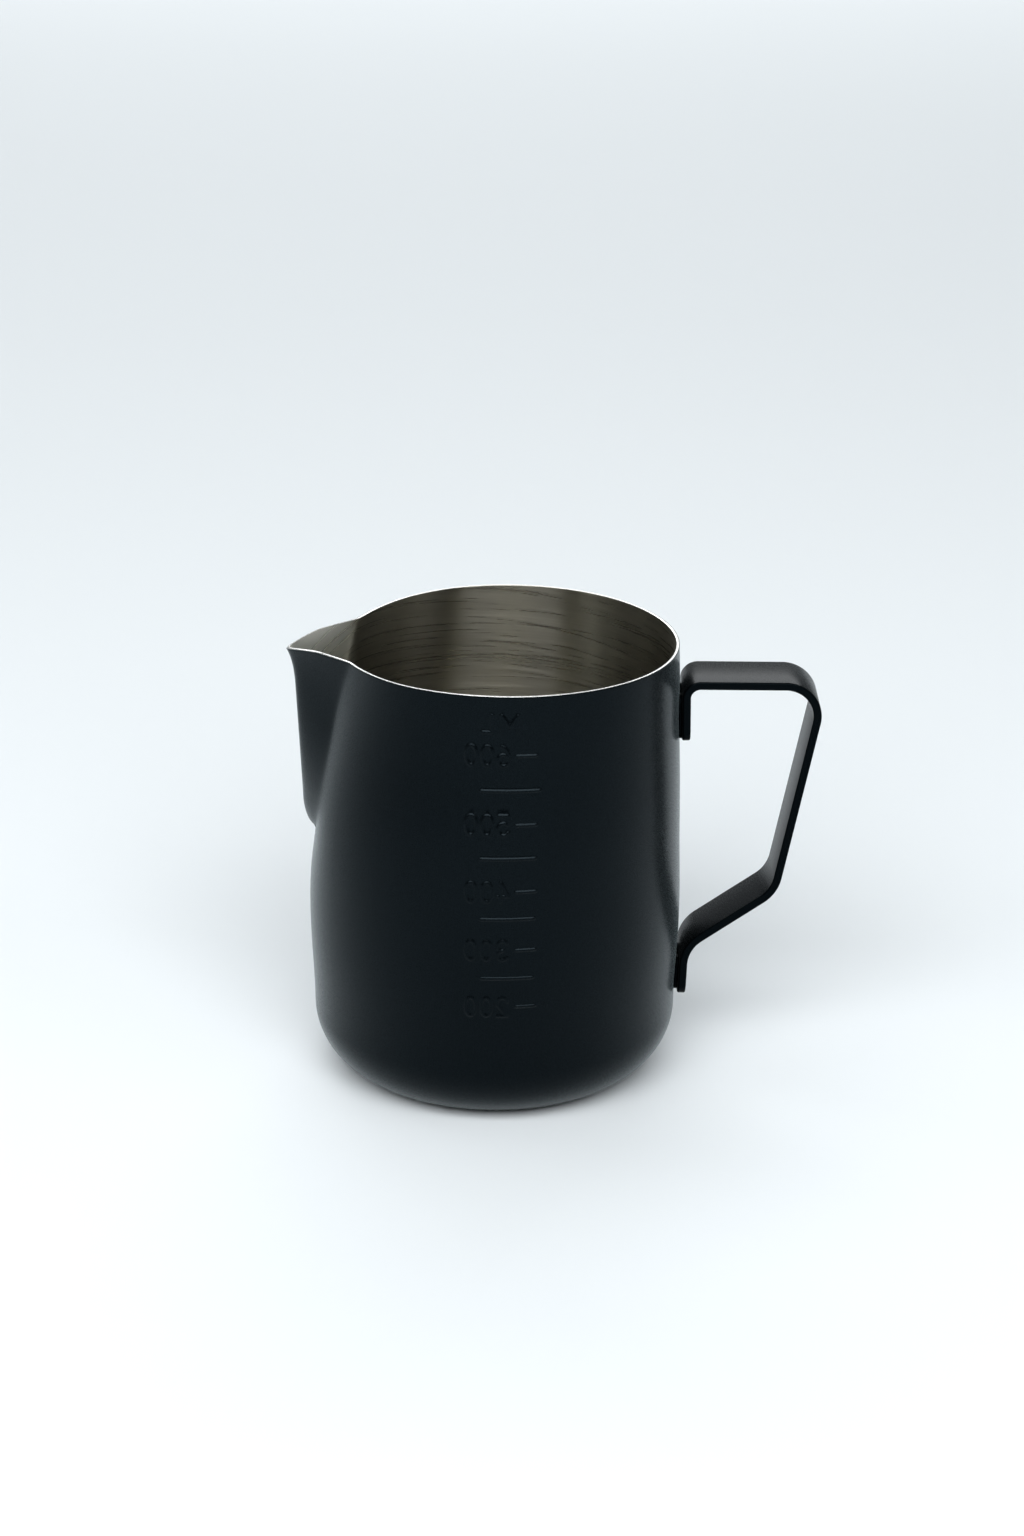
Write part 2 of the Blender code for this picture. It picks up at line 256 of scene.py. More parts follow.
def crease_half_width(height):
    """Half the width of the spout where it meets the round wall."""
    below = np.clip((SPOUT_SHOULDER - height) / (SPOUT_SHOULDER - SPOUT_FOOT), 0.0, 1.0)
    above = np.maximum(0.0, (height - SPOUT_FLARE_START) / (RIM_HEIGHT - SPOUT_FLARE_START))
    return SPOUT_HALF_WIDTH * np.sqrt(1.0 - below**2) + SPOUT_FLARE * above**1.6


def pulled_radius(angle, height):
    """Radius of the wall without the spout, drawn in under the spout's foot and beside its crease."""
    below = np.exp(-((height - SPOUT_FOOT) / FOOT_DIP_HEIGHT) ** 2)
    dip = FOOT_DIP * below * np.exp(-((angle / FOOT_DIP_ANGLE) ** 2))
    above = smooth_step((height - NECK_PULL_START) / (RIM_HEIGHT - NECK_PULL_START))
    pull = NECK_PULL * above * np.exp(-(((np.abs(angle) - NECK_PULL_ANGLE) / NECK_PULL_SPREAD) ** 2))
    return wall_radius(height) - dip - pull


def spout_radius(angle, height, half_width):
    """Distance from the wall's axis to the rounded V of the spout, at an angle from -X."""
    apex = ridge_distance(height) + neck_shift(height)
    nose = NOSE_LOW + (NOSE - NOSE_LOW) * smooth_step((height - SPOUT_FOOT) / (RIM_HEIGHT - SPOUT_FOOT))
    crease_angle = np.arcsin(half_width / wall_radius(height))
    crease_x = pulled_radius(crease_angle, height) * np.cos(crease_angle)
    steepness = np.maximum(apex - crease_x, 0.0) / (np.hypot(half_width, nose) - nose)
    virtual_apex = apex + nose * steepness
    a = np.cos(angle) ** 2 - (steepness * np.sin(angle)) ** 2
    b = virtual_apex * np.cos(angle)
    c = virtual_apex**2 - (steepness * nose) ** 2
    return c / (b + np.sqrt(np.maximum(b * b - a * c, 0.0)))


def vessel_radius(angle, height):
    """Distance from the wall's axis to the outer face, with the spout and the dip under its foot."""
    radius = pulled_radius(angle, height)
    half_width = np.maximum(crease_half_width(height), 0.5)
    beyond = np.abs(angle) / np.arcsin(half_width / wall_radius(height)) - 1.0
    on_spout = (height > SPOUT_FOOT) & (beyond < CREASE_FADE)
    near_angle = np.where(on_spout, angle, 0.0)
    proud = spout_radius(near_angle, height, half_width) - radius
    softness = CREASE * smooth_step((height - SPOUT_FOOT) / (RIDGE_LOW_HEIGHT - SPOUT_FOOT))
    added = 0.5 * (proud + np.hypot(proud, softness)) * (1.0 - smooth_step(beyond / CREASE_FADE))
    return radius + np.where(on_spout, added, 0.0)


def rim_fall(angle):
    """How far the rim lies below its highest point, at an angle from -X."""
    height = np.full_like(angle, RIM_HEIGHT - LIP_DROP)
    x = neck_shift(RIM_HEIGHT) - vessel_radius(angle, height) * np.cos(angle)
    lip = np.maximum(0.0, (-x - LIP_DROP_START) / LIP_DROP_LENGTH)
    to_spout = RIM_FALL_SPOUT * np.clip(-x / RIM_FALL_REACH, 0.0, 1.0) ** 2 + LIP_DROP * lip**1.3
    to_handle = RIM_FALL_HANDLE * (x / SIDE_PROFILE[-1][1]) ** 2
    return np.where(x > 0.0, to_handle, to_spout)


def surface(angle, path):
    """Points of the vessel's outer face.

    path is below 0 on the flat base, 0 to CORNER_HEIGHT round the corner, and the ring's height above it.
    """
    turn = 0.5 * math.pi * np.clip(path / CORNER_HEIGHT, 0.0, 1.0)
    low_radius = SIDE_PROFILE[0][1] - CORNER_WIDTH * (1.0 - np.sin(turn)) + np.minimum(path, 0.0)
    low_height = CORNER_HEIGHT * (1.0 - np.cos(turn))
    follow = smooth_step((path - SPOUT_FLARE_START) / (RIM_HEIGHT - SPOUT_FLARE_START))
    ring_height = np.maximum(path, CORNER_HEIGHT) - rim_fall(angle) * follow
    on_wall = path > CORNER_HEIGHT
    radius = np.where(on_wall, vessel_radius(angle, ring_height), low_radius)
    height = np.where(on_wall, ring_height, low_height)
    x = neck_shift(height) - radius * np.cos(angle)
    return np.stack((x, radius * np.sin(angle), height), axis=-1)


def surface_normal(angle, path):
    """Outward normals of the outer face."""
    step = 1e-4
    along = surface(angle, path + step) - surface(angle, path - step)
    around = surface(angle + step, path) - surface(angle - step, path)
    normal = np.cross(along, around)
    return normal / np.linalg.norm(normal, axis=-1, keepdims=True)


def arc(centre, radii, first, last):
    """Points of an elliptical arc between two angles in degrees."""
    steps = max(3, math.ceil(abs(last - first) / 24))
    turns = np.radians(np.linspace(first, last, steps + 1))
    return [(centre[0] + radii[0] * math.cos(t), centre[1] + radii[1] * math.sin(t)) for t in turns]


GLYPHS = {  # strokes in a box from -1 to 1 each way
    "0": [arc((0, 0), (1, 1), 0, 360)],
    "2": [arc((0, 0.45), (1, 0.55), 170, -25) + [(-1, -1), (1, -1)]],
    "3": [arc((0, 0.48), (0.95, 0.52), 150, -90) + arc((0, -0.5), (1, 0.5), 90, -150)],
    "4": [[(0.4, -1), (0.4, 1), (-1, -0.4), (1, -0.4)]],
    "5": [[(0.85, 1), (-0.75, 1), (-0.85, 0.1)] + arc((-0.05, -0.38), (1, 0.62), 130, -150)],
    "6": [arc((0.6, -0.35), (1.6, 1.35), 100, 180), arc((0, -0.42), (1, 0.58), 0, 360)],
    "M": [[(-1, -1), (-1, 1), (0, -0.3), (1, 1), (1, -1)]],
    "L": [[(-1, 1), (-1, -1), (1, -1)]],
}


def glyph_segments(letter, x, z, half_width, half_height):
    """Segments of one glyph; it is turned round, because it reads from the vessel's inside."""
    segments = []
    for stroke in GLYPHS[letter]:
        points = [(x - half_width * u, z + half_height * v) for u, v in stroke]
        segments += list(zip(points, points[1:]))
    return segments


def mark_rows():
    """The volume scale as rows of (height, segments, relief)."""
    rows = []
    for volume, z in MARK_HEIGHTS.items():
        numbered = volume % 100 == 0
        left, right = TICK if numbered else LONG_LINES[volume]
        rows.append((z, [((left, z), (right, z))], LINE_RELIEF))
        digits = []
        if numbered:
            for digit, x in zip(str(volume), DIGIT_CENTRES):
                digits += glyph_segments(digit, x, z, DIGIT_HALF_WIDTH, DIGIT_HALF_HEIGHT)
            rows.append((z, digits, DIGIT_RELIEF))
    unit = []
    for letter, x, half_width in zip("ML", UNIT_CENTRES, UNIT_HALF_WIDTHS):
        unit += glyph_segments(letter, x, UNIT_HEIGHT, half_width, UNIT_HALF_HEIGHT)
    rows.append((UNIT_HEIGHT, unit, DIGIT_RELIEF))
    return rows


MARK_ROWS = mark_rows()


def relief(points):
    """How far the marks push each point of the wall outwards."""
    raised = np.zeros(len(points))
    reach_z = DIGIT_HALF_HEIGHT + RELIEF_REACH
    for row_height, segments, full in MARK_ROWS:
        near = np.nonzero((np.abs(points[:, 2] - row_height) < reach_z) & (points[:, 1] < 0.0))[0]
        if not len(near):
            continue
        flat = points[near][:, (0, 2)]
        distance = np.full(len(near), np.inf)
        for start, end in segments:
            start, end = np.array(start), np.array(end)
            line = end - start
            share = np.clip((flat - start) @ line / max(line @ line, 1e-12), 0.0, 1.0)
            distance = np.minimum(distance, np.linalg.norm(flat - start - share[:, None] * line, axis=1))
        height = full * (1.0 - smooth_step((distance - RELIEF_CORE) / (RELIEF_REACH - RELIEF_CORE)))
        raised[near] = np.maximum(raised[near], height)
    return raised


def spaced(start, end, step):
    """Evenly spaced values from start to end, both included, about step apart."""
    return list(np.linspace(start, end, max(2, round(abs(end - start) / step) + 1)))


def merge(*lists):
    """One sorted list without near doubles."""
    values = sorted(v for one in lists for v in one)
    return [v for i, v in enumerate(values) if i == 0 or v - values[i - 1] > 1e-6]


# Grid of the vessel: coarse all round, and fine over the marks; degrees are from -X
PATCH_DEGREES = (-104.5, -74.5)
PATCH_ANGLES = (math.radians(PATCH_DEGREES[0]), math.radians(PATCH_DEGREES[1]))
PATCH_HEIGHTS = (31.0, 109.0)
PATCH_COLUMN_STEP = math.radians(0.32)
LINE_ROW_STEP = 0.13
DIGIT_ROW_STEP = 0.24
SPOUT_COLUMN_SPANS = [(-30, -12, 0.75), (-12, 12, 1.0), (12, 30, 0.75)]  # (from, to, step) across the spout
COARSE_COLUMN_STEP = 2.5
COARSE_COLUMNS_BESIDE_PATCH = (-107.6, -105.8, -104.5, -74.5, -73.2, -71.2)
BASE_RINGS = (-27.0, -22.0, -15.0, -8.0, -3.0, 0.0)
COARSE_RING_SPANS = [  # (from, to, step) up the wall
    (CORNER_HEIGHT, 31.0, 2.6), (31.0, 61.0, 2.5), (61.0, 72.0, 0.8), (72.0, 97.0, 1.7), (97.0, 109.0, 1.0),
]
CORNER_RING_STEP = 0.8
TOP_RING_STEP = 0.6


def vessel_grid():
    """Angles and paths of the grid: a coarse one all round, and a fine one over the marks.

    Returns both lists and, for each, which values belong to the coarse grid.
    """
    degrees = merge(
        *(spaced(*span) for span in SPOUT_COLUMN_SPANS),
        spaced(30, 180, COARSE_COLUMN_STEP)[:-1],
        spaced(-180, -110, COARSE_COLUMN_STEP),
        COARSE_COLUMNS_BESIDE_PATCH,
        spaced(-68.5, -30, COARSE_COLUMN_STEP),
    )
    middle = spaced(*PATCH_DEGREES, COARSE_COLUMN_STEP)
    angles_coarse = merge(np.radians(degrees), np.radians(middle))
    paths_coarse = merge(
        BASE_RINGS,
        spaced(0.0, CORNER_HEIGHT, CORNER_RING_STEP),
        *(spaced(*span) for span in COARSE_RING_SPANS),
        spaced(PATCH_HEIGHTS[1], RIM_HEIGHT - RIM_ZONE, TOP_RING_STEP),
    )
    fine_rows = [PATCH_HEIGHTS]
    for row_height, segments, _ in MARK_ROWS:
        half = RELIEF_REACH + (DIGIT_HALF_HEIGHT if len(segments) > 1 else 0.0)
        step = DIGIT_ROW_STEP if len(segments) > 1 else LINE_ROW_STEP
        fine_rows.append(spaced(row_height - half, row_height + half, step))
    angles = merge(angles_coarse, spaced(*PATCH_ANGLES, PATCH_COLUMN_STEP))
    paths = merge(paths_coarse, *fine_rows)
    return np.array(angles), np.array(paths), np.array(angles_coarse), np.array(paths_coarse)


def holds(values, chosen):
    """Which values are among the chosen ones."""
    return np.abs(values[:, None] - chosen[None, :]).min(axis=1) < 1e-6


def sheet_mesh(name, outer_depth, inner_depth, edge):
    """A closed sheet between two depths under the vessel's outer face, with the given section at the rim."""
    angles, paths, coarse_angles, coarse_paths = vessel_grid()
    column_is_coarse, ring_is_coarse = holds(angles, coarse_angles), holds(paths, coarse_paths)
    in_patch_column = (angles > PATCH_ANGLES[0] - 1e-6) & (angles < PATCH_ANGLES[1] + 1e-6)
    in_patch_ring = (paths > PATCH_HEIGHTS[0] - 1e-6) & (paths < PATCH_HEIGHTS[1] + 1e-6)
    used = np.outer(column_is_coarse, ring_is_coarse) | np.outer(in_patch_column, in_patch_ring)
    at_column, at_ring = np.nonzero(used)
    number = np.full(used.shape, -1)
    number[at_column, at_ring] = np.arange(len(at_column))

    points = surface(angles[at_column], paths[at_ring])
    normals = surface_normal(angles[at_column], paths[at_ring])
    raised = relief(points)
    layers = [points + normals * (raised - depth)[:, None] for depth in (outer_depth, inner_depth)]
    count = len(points)

    columns, rings = np.nonzero(column_is_coarse)[0], np.nonzero(ring_is_coarse)[0]
    width = len(angles)
    faces = []

    def add_cell(left, right, bottom, top):
        """One cell on both layers, with every vertex that lies on its outline."""
        outline = [(c, bottom) for c in range(left, right)]
        outline += [(right, r) for r in range(bottom, top)]
        outline += [(c, top) for c in range(right, left, -1)]
        outline += [(left, r) for r in range(top, bottom, -1)]
        corners = [number[c % width, r] for c, r in outline]
        corners = [int(c) for c in corners if c >= 0]
        faces.append(corners[::-1])
        faces.append([c + count for c in corners])

    for left, right in zip(columns, [*columns[1:], columns[0] + width]):
        for bottom, top in zip(rings, rings[1:]):
            fine = in_patch_column[left] and in_patch_column[right % width] and left < right <= width
            fine = fine and in_patch_ring[bottom] and in_patch_ring[top]
            if not fine:
                add_cell(left, right, bottom, top)
                continue
            for c in range(left, right):
                for r in range(bottom, top):
                    add_cell(c, c + 1, r, r + 1)

    outer_foot = [int(number[c, rings[0]]) for c in columns]
    faces.append(outer_foot)
    faces.append([c + count for c in reversed(outer_foot)])

    coarse = angles[columns]
    vertices = layers
    sheet_faces = len(faces)
    previous = [int(number[c, rings[-1]]) for c in columns]
    last = [c + count for c in previous]
    total = 2 * count
    for depth, drop in edge:
        path = np.full_like(coarse, RIM_HEIGHT - drop)
        vertices.append(surface(coarse, path) - depth * surface_normal(coarse, path))
        ring = list(range(total, total + len(coarse)))
        faces += ring_faces(previous, ring)
        previous = ring
        total += len(coarse)
    faces += ring_faces(previous, last)
    sheet = add_mesh(name, np.concatenate(vertices) * MM, faces)
    for polygon in sheet.data.polygons[sheet_faces:-RIM_INSIDE_RINGS * len(coarse)]:
        polygon.material_index = 1
    return sheet


def ring_faces(lower, upper):
    """Quads between two closed rings, facing outwards where the second lies above the first."""
    count = len(lower)
    return [
        (lower[(i + 1) % count], lower[i], upper[i], upper[(i + 1) % count]) for i in range(count)
    ]


def add_mesh(name, vertices, faces):
    """A smooth mesh object in the scene's collection."""
    mesh = bpy.data.meshes.new(name)
    mesh.from_pydata([tuple(v) for v in vertices], [], faces)
    mesh.validate()
    mesh.shade_smooth()
    piece = bpy.data.objects.new(name, mesh)
    bpy.context.scene.collection.objects.link(piece)
    return piece


def strap_path():
    """The strap's middle line as arrays of length along it, x, z and direction."""
    stops = []
    for i, (x, z, bend) in enumerate(STRAP_CORNERS):
        here = np.array((x, z))
        into = here - STRAP_CORNERS[i - 1][:2] if i else None
        out = np.array(STRAP_CORNERS[i + 1][:2]) - here if i + 1 < len(STRAP_CORNERS) else None
        if into is None or out is None:
            way = out if into is None else into
            stops.append((x, z, math.atan2(way[1], way[0])))
            continue
        into, out = into / np.linalg.norm(into), out / np.linalg.norm(out)
        turn = math.atan2(into[0] * out[1] - into[1] * out[0], into @ out)
        side = math.copysign(1.0, turn)
        start = here - into * bend * math.tan(abs(turn) / 2)
        first = math.atan2(into[1], into[0])
        centre = start + side * bend * np.array((-into[1], into[0]))
        for way in np.linspace(first, first + turn, math.ceil(abs(turn) / BEND_STEP) + 1):
            offset = side * bend * np.array((math.sin(way), -math.cos(way)))
            stops.append((centre[0] + offset[0], centre[1] + offset[1], way))
    x, z, way = np.array(stops).T
    length = np.concatenate(((0.0,), np.cumsum(np.hypot(np.diff(x), np.diff(z)))))
    return length, x, z, way


def make_strap():
    """The strap: a flat blank with rounded corners and eased edges, bent along its path."""
    length, path_x, path_z, path_way = strap_path()
    half, radius = 0.5 * STRAP_WIDTH, STRAP_END_RADIUS
    turns = np.radians(np.linspace(0, 90, STRAP_END_POINTS))
    start = [
        (radius * (1 - math.cos(t)), half - radius * (1 - math.sin(t)), -math.cos(t), math.sin(t))
        for t in turns
    ]
    end = [(length[-1] - s, y, -ns, ny) for s, y, ns, ny in reversed(start)]
    middle = [(s, half, 0.0, 1.0) for s in length[1:-1]]
    side = np.array(start + middle + end)

    eases = np.radians(np.linspace(0, 90, STRAP_FILLET_POINTS))
    flat = 0.5 * STRAP_THICKNESS - STRAP_FILLET
    section = [(STRAP_FILLET * (1 - math.sin(t)), -flat - STRAP_FILLET * math.cos(t)) for t in eases]
    section += [(inset, -n) for inset, n in reversed(section)]

    vertices, faces = [], []
    count = len(side)
    for inset, depth in section:
        s = side[:, 0] - inset * side[:, 2]
        y = side[:, 1] - inset * side[:, 3]
        x, z, way = (np.interp(s, length, p) for p in (path_x, path_z, path_way))
        across_x, across_z = -np.sin(way), np.cos(way)
        near = np.stack((x + depth * across_x, -y, z + depth * across_z), axis=1)
        far = near * (1, -1, 1)
        vertices.append(np.concatenate((near, far[::-1])))
    for k in range(len(section) - 1):
        low = list(range(k * 2 * count, (k + 1) * 2 * count))
        faces += ring_faces(low, [v + 2 * count for v in low])
    for k, order in ((0, 1), (len(section) - 1, -1)):
        base = k * 2 * count
        for i in range(count - 1):
            quad = (base + i, base + i + 1, base + 2 * count - 2 - i, base + 2 * count - 1 - i)
            faces.append(quad[::order])
    return add_mesh("handle", np.concatenate(vertices) * MM, faces)


def make_bead(name, direction, low, high):
    """One coated bead between the wall and a tab of the strap; its black partly stands in for the shade in
    that gap, as painted shade.
    """
    turns = np.linspace(0.0, 2.0 * math.pi, BEAD_SIDES, endpoint=False)
    ring_y = np.sign(np.cos(turns)) * np.abs(np.cos(turns)) ** (2.0 / BEAD_SQUARENESS)
    ring_z = np.sign(np.sin(turns)) * np.abs(np.sin(turns)) ** (2.0 / BEAD_SQUARENESS)
    tab = STRAP_CORNERS[:2] if low > 0.5 * RIM_HEIGHT else STRAP_CORNERS[:-3:-1]
    layers = {"wall": [], "tab": []}
    for share in BEAD_RING_SHARES:
        y = direction * BEAD_SPREAD + BEAD_HALF_WIDTH * share * ring_y
        z = 0.5 * (low + high) + 0.5 * (high - low) * share * ring_z
        wall_x = neck_shift(z) + np.sqrt(wall_radius(z) ** 2 - y**2) + BEAD_CLEARANCE
        tab_middle = np.interp(z, [tab[0][1], tab[1][1]], [tab[0][0], tab[1][0]])
        tab_x = tab_middle - 0.5 * STRAP_THICKNESS - BEAD_CLEARANCE
        layers["wall"].append(np.stack((wall_x, y, z), axis=1))
        layers["tab"].append(np.stack((tab_x, y, z), axis=1))
    rings = layers["wall"][::-1] + layers["tab"]
    count = len(turns)
    faces = [list(range(count))]
    for k in range(len(rings) - 1):
        low_ring = list(range(k * count, (k + 1) * count))
        faces += ring_faces(low_ring, [v + count for v in low_ring])
    faces.append(list(range((len(rings) - 1) * count, len(rings) * count)))
    bead = add_mesh(name, np.concatenate(rings) * MM, faces)
    tidy_normals(bead)
    return bead


def tidy_normals(piece):
    """Point every face of a closed piece outwards."""
    bm = bmesh.new()
    bm.from_mesh(piece.data)
    bmesh.ops.recalc_face_normals(bm, faces=bm.faces)
    bm.to_mesh(piece.data)
    bm.free()


def new_material(name):
    """A Principled material, its node tree's add function and its link function."""
    material = bpy.data.materials.new(name)
    material.use_nodes = True
    tree = material.node_tree
    return material, tree.nodes["Principled BSDF"], tree.nodes.new, tree.links.new


def noise(add, link, coordinates, scale, detail, stretch=(1.0, 1.0, 1.0), turn=(0.0, 0.0, 0.0)):
    """A noise texture on the given coordinates, turned and then stretched along an axis."""
    turned = add("ShaderNodeVectorRotate")
    turned.rotation_type = "EULER_XYZ"
    turned.inputs["Rotation"].default_value = turn
    link(coordinates, turned.inputs["Vector"])
    mapping = add("ShaderNodeMapping")
    mapping.inputs["Scale"].default_value = stretch
    link(turned.outputs["Vector"], mapping.inputs["Vector"])
    texture = add("ShaderNodeTexNoise")
    texture.inputs["Scale"].default_value = scale
    texture.inputs["Detail"].default_value = detail
    link(mapping.outputs["Vector"], texture.inputs["Vector"])
    return texture.outputs["Fac"]


def ranged(add, link, value, low, high):
    """A noise value, carried over from NOISE_RANGE to the range from low to high."""
    node = add("ShaderNodeMapRange")
    node.inputs["From Min"].default_value = NOISE_RANGE[0]
    node.inputs["From Max"].default_value = NOISE_RANGE[1]
    node.inputs["To Min"].default_value = low
    node.inputs["To Max"].default_value = high
    link(value, node.inputs["Value"])
    return node.outputs["Result"]


def mixed(add, link, value, low, high):
    """A colour between low and high, by the value."""
    node = add("ShaderNodeMix")
    node.data_type = "RGBA"
    node.inputs["A"].default_value = (*low, 1.0)
    node.inputs["B"].default_value = (*high, 1.0)
    link(value, node.inputs["Factor"])
    return node.outputs["Result"]


def combined(add, link, operation, first, second):
    """The result of a math node on two sockets."""
    node = add("ShaderNodeMath")
    node.operation = operation
    link(first, node.inputs[0])
    link(second, node.inputs[1])
    return node.outputs["Value"]


def add_bump(add, link, shader, height, strength, distance):
    """Fine relief on a material, by a height."""
    bump = add("ShaderNodeBump")
    bump.inputs["Strength"].default_value = strength
    bump.inputs["Distance"].default_value = distance
    link(height, bump.inputs["Height"])
    link(bump.outputs["Normal"], shader.inputs["Normal"])


def coating_material(name, gloss, sheen):
    """Fine matte black coating, slightly blue, with the faint grain of a sprayed and baked finish."""
    material, shader, add, link = new_material(name)
    place = add("ShaderNodeTexCoord").outputs["Object"]
    cloud = noise(add, link, place, 60.0, 3.0)
    grain = noise(add, link, place, 4500.0, 2.0)
    link(mixed(add, link, cloud, *COATING_COLOURS), shader.inputs["Base Color"])
    link(ranged(add, link, grain, *COATING_ROUGHNESS), shader.inputs["Roughness"])
    shader.inputs["Specular IOR Level"].default_value = gloss
    shader.inputs["Specular Tint"].default_value = COATING_SPECULAR_TINT
    shader.inputs["Sheen Weight"].default_value = sheen
    shader.inputs["Sheen Roughness"].default_value = 0.4
    shader.inputs["Sheen Tint"].default_value = COATING_SHEEN_TINT
    add_bump(add, link, shader, grain, 0.12, 0.02 * MM)
    return material


def brushing_place(add, link, split, place):
    """Coordinates whose third axis is the height plus the distance from the vessel's axis.

    Streaks that run across that axis go round the wall, and round the floor of the inside as well.
    """
    flat = add("ShaderNodeVectorMath")
    flat.operation = "MULTIPLY"
    flat.inputs[1].default_value = (1.0, 1.0, 0.0)
    link(place, flat.inputs[0])
    radius = add("ShaderNodeVectorMath")
    radius.operation = "LENGTH"
    link(flat.outputs["Vector"], radius.inputs[0])
    brushed = add("ShaderNodeCombineXYZ")
    link(split.outputs["X"], brushed.inputs["X"])
    link(split.outputs["Y"], brushed.inputs["Y"])
    link(combined(add, link, "ADD", split.outputs["Z"], radius.outputs["Value"]), brushed.inputs["Z"])
    return brushed.outputs["Vector"]


def brush_streaks(add, link, brushed):
    """The mean of two layers of streaks that cross at a small angle."""
    layers = [
        noise(add, link, brushed, 1.0, 4.0, stretch, [math.radians(part) for part in turn])
        for stretch, turn in BRUSHING
    ]
    halved = add("ShaderNodeMath")
    halved.operation = "MULTIPLY"
    halved.inputs[1].default_value = 0.5
    link(combined(add, link, "ADD", *layers), halved.inputs[0])
    return halved.outputs["Value"]


def steel_material():
    """Bare stainless steel, brushed by hand nearly round the axis, with painted light in the pressed spout,
    whose inside is coloured brighter than the wall.
    """
    material, shader, add, link = new_material("brushed_steel_look")
    place = add("ShaderNodeTexCoord").outputs["Object"]
    split = add("ShaderNodeSeparateXYZ")
    link(place, split.inputs["Vector"])
    streaks = brush_streaks(add, link, brushing_place(add, link, split, place))
    # Painted light: the pressed spout's inside takes the brighter colour
    on_spout = add("ShaderNodeMapRange")
    on_spout.interpolation_type = "SMOOTHSTEP"
    on_spout.inputs["From Min"].default_value = SPOUT_PAINTED_LIGHT[0] * MM
    on_spout.inputs["From Max"].default_value = SPOUT_PAINTED_LIGHT[1] * MM
    link(split.outputs["X"], on_spout.inputs["Value"])
    colour = add("ShaderNodeMix")
    colour.data_type = "RGBA"
    link(on_spout.outputs["Result"], colour.inputs["Factor"])
    link(mixed(add, link, streaks, *WALL_STEEL), colour.inputs["A"])
    link(mixed(add, link, streaks, *SPOUT_STEEL_PAINTED_LIGHT), colour.inputs["B"])
    link(colour.outputs["Result"], shader.inputs["Base Color"])
    link(ranged(add, link, streaks, *STEEL_ROUGHNESS), shader.inputs["Roughness"])
    shader.inputs["Metallic"].default_value = 1.0
    shader.inputs["Anisotropic"].default_value = 0.95
    shader.inputs["Anisotropic Rotation"].default_value = 0.25
    tangent = add("ShaderNodeTangent")
    tangent.direction_type = "RADIAL"
    tangent.axis = "Z"
    link(tangent.outputs["Tangent"], shader.inputs["Tangent"])
    add_bump(add, link, shader, streaks, 0.3, 0.03 * MM)
    return material


def rim_material():
    """The rim, ground smooth and brighter than the wall."""
    material, shader, add, link = new_material("ground_rim_look")
    place = add("ShaderNodeTexCoord").outputs["Object"]
    grain = noise(add, link, place, 3000.0, 2.0)
    link(mixed(add, link, grain, *RIM_STEEL), shader.inputs["Base Color"])
    link(ranged(add, link, grain, *STEEL_ROUGHNESS), shader.inputs["Roughness"])
    shader.inputs["Metallic"].default_value = 1.0
    return material


def floor_material():
    """Plain pale paper."""
    material, shader, add, link = new_material("pale_floor_look")
    place = add("ShaderNodeTexCoord").outputs["Object"]
    cloud = noise(add, link, place, 1.5, 2.0)
    link(mixed(add, link, cloud, *FLOOR_COLOURS), shader.inputs["Base Color"])
    shader.inputs["Roughness"].default_value = 0.9
    shader.inputs["Specular IOR Level"].default_value = 0.1
    return material


def add_floor():
    """A wide pale floor just under the base."""
    corners = [
        (x * FLOOR_HALF_WIDTH, y * FLOOR_HALF_WIDTH, FLOOR_HEIGHT)
        for x, y in ((-1, -1), (1, -1), (1, 1), (-1, 1))
    ]
    floor = add_mesh("floor", corners, [(0, 1, 2, 3)])
    floor.data.materials.append(floor_material())


def add_camera():
    """The camera: it looks slightly down at the pitcher's front."""
    level, drop = math.cos(CAMERA_PITCH), math.sin(CAMERA_PITCH)
    forward = Vector((math.sin(CAMERA_YAW) * level, math.cos(CAMERA_YAW) * level, -drop))
    right = Vector((math.cos(CAMERA_YAW), -math.sin(CAMERA_YAW), 0.0))
    up = right.cross(forward)
    turned_right = right * math.cos(CAMERA_ROLL) + up * math.sin(CAMERA_ROLL)
    turned_up = up * math.cos(CAMERA_ROLL) - right * math.sin(CAMERA_ROLL)
    axes = Matrix((turned_right, turned_up, -forward)).transposed()
    camera = bpy.data.objects.new("camera", bpy.data.cameras.new("camera"))
    camera.data.lens = LENS
    camera.data.sensor_width = SENSOR_WIDTH
    camera.matrix_world = Matrix.Translation(CAMERA_PLACE) @ axes.to_4x4()
    bpy.context.scene.collection.objects.link(camera)
    bpy.context.scene.camera = camera


def add_softbox(name, place, target, width, height, power):
    """A rectangular soft light that points at a target."""
    data = bpy.data.lights.new(name, "AREA")
    data.shape = "RECTANGLE"
    data.size = width
    data.size_y = height
    data.energy = power
    light = bpy.data.objects.new(name, data)
    light.location = place
    light.rotation_euler = (Vector(target) - Vector(place)).to_track_quat("-Z", "Y").to_euler()
    bpy.context.scene.collection.objects.link(light)


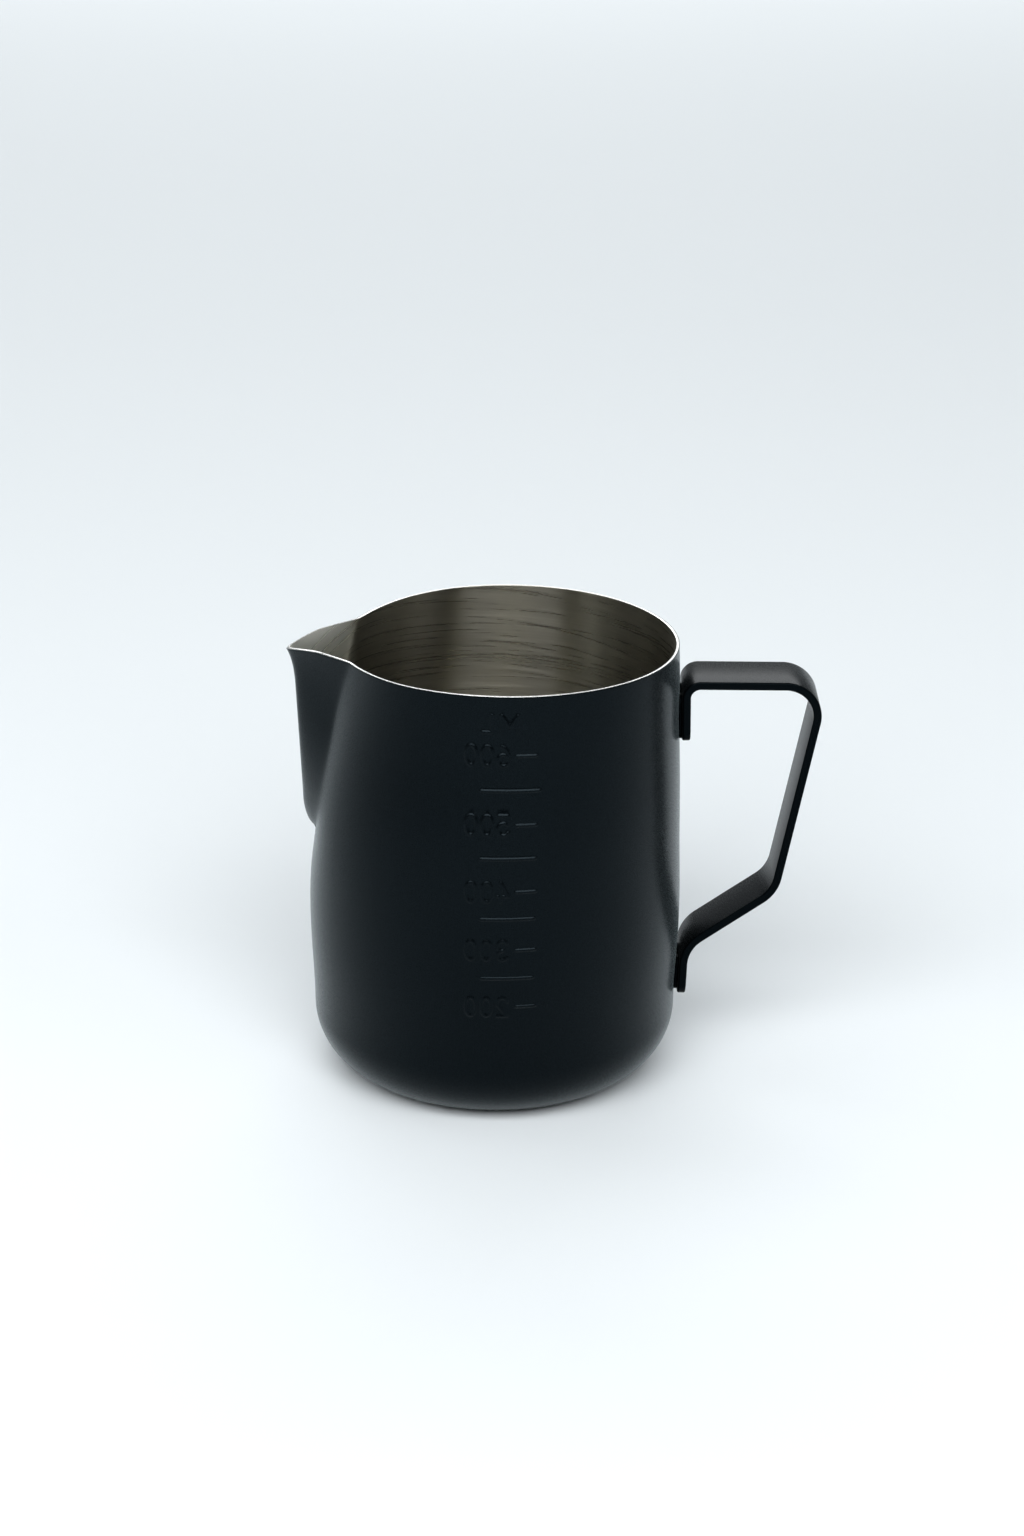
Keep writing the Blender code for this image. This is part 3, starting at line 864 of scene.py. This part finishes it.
def add_world():
    """Pale surroundings: brighter behind and beside the pitcher than in front of it and overhead."""
    world = bpy.data.worlds.new("studio")
    bpy.context.scene.world = world
    world.use_nodes = True
    add, link = world.node_tree.nodes.new, world.node_tree.links.new
    split = add("ShaderNodeSeparateXYZ")
    link(add("ShaderNodeTexCoord").outputs["Generated"], split.inputs["Vector"])
    level = {}
    for axis, (low, high) in {"Y": WORLD_DEPTH_RANGE, "Z": WORLD_HEIGHT_RANGE}.items():
        ramp = add("ShaderNodeMapRange")
        ramp.interpolation_type = "SMOOTHSTEP"
        ramp.inputs["From Min"].default_value = low
        ramp.inputs["From Max"].default_value = high
        link(split.outputs[axis], ramp.inputs["Value"])
        level[axis] = ramp.outputs["Result"]
    both = combined(add, link, "MULTIPLY", level["Y"], level["Z"])
    strength = add("ShaderNodeMapRange")
    strength.inputs["To Min"].default_value = WORLD_DARK
    strength.inputs["To Max"].default_value = WORLD_BRIGHT
    link(both, strength.inputs["Value"])
    background = world.node_tree.nodes["Background"]
    background.inputs["Color"].default_value = WORLD_COLOUR
    link(strength.outputs["Result"], background.inputs["Strength"])


def add_light():
    """Soft studio light: a wide key above the camera and a box over the floor behind the pitcher."""
    add_world()
    for softbox in SOFTBOXES:
        add_softbox(*softbox)


def main():
    """Add the camera, the floor, the light and every visible piece."""
    add_camera()
    add_floor()
    add_light()
    body_coating = coating_material("body_coating_look", BODY_GLOSS, BODY_SHEEN)
    # Painted shade: the handle's copy of the coating is less glossy than the body's
    handle_coating_painted_shade = coating_material("handle_coating_painted_shade_look", HANDLE_GLOSS, HANDLE_SHEEN)
    steel, rim_steel = steel_material(), rim_material()

    vessel_steel = sheet_mesh("vessel_steel", STEEL_OUTSIDE, SHEET, STEEL_EDGE)
    vessel_steel.data.materials.append(steel)
    vessel_steel.data.materials.append(rim_steel)
    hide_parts("pitcher_body")

    vessel_coating = sheet_mesh("vessel_coating", 0.0, COATING_DEPTH, COATING_EDGE)
    vessel_coating.data.materials.append(body_coating)
    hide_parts("pitcher_body")

    handle = make_strap()
    tidy_normals(handle)
    handle.data.materials.append(handle_coating_painted_shade)
    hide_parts("handle_strap")

    pieces = [vessel_steel, vessel_coating, handle]
    # Beads round the spot welds, whose black partly fills the shade behind the tabs: painted shade
    for place, (low, high) in BEAD_SPANS.items():
        for side, direction in (("front", -1.0), ("back", 1.0)):
            bead = make_bead(f"weld_bead_{place}_{side}", direction, low, high)
            bead.data.materials.append(handle_coating_painted_shade)
            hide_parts(f"weld_{place}_{side}")
            pieces.append(bead)
    for piece in pieces:
        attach(piece, "root")


main()

bpy.context.scene.view_settings.view_transform = "Standard"
bpy.context.scene.view_settings.look = "Medium High Contrast"
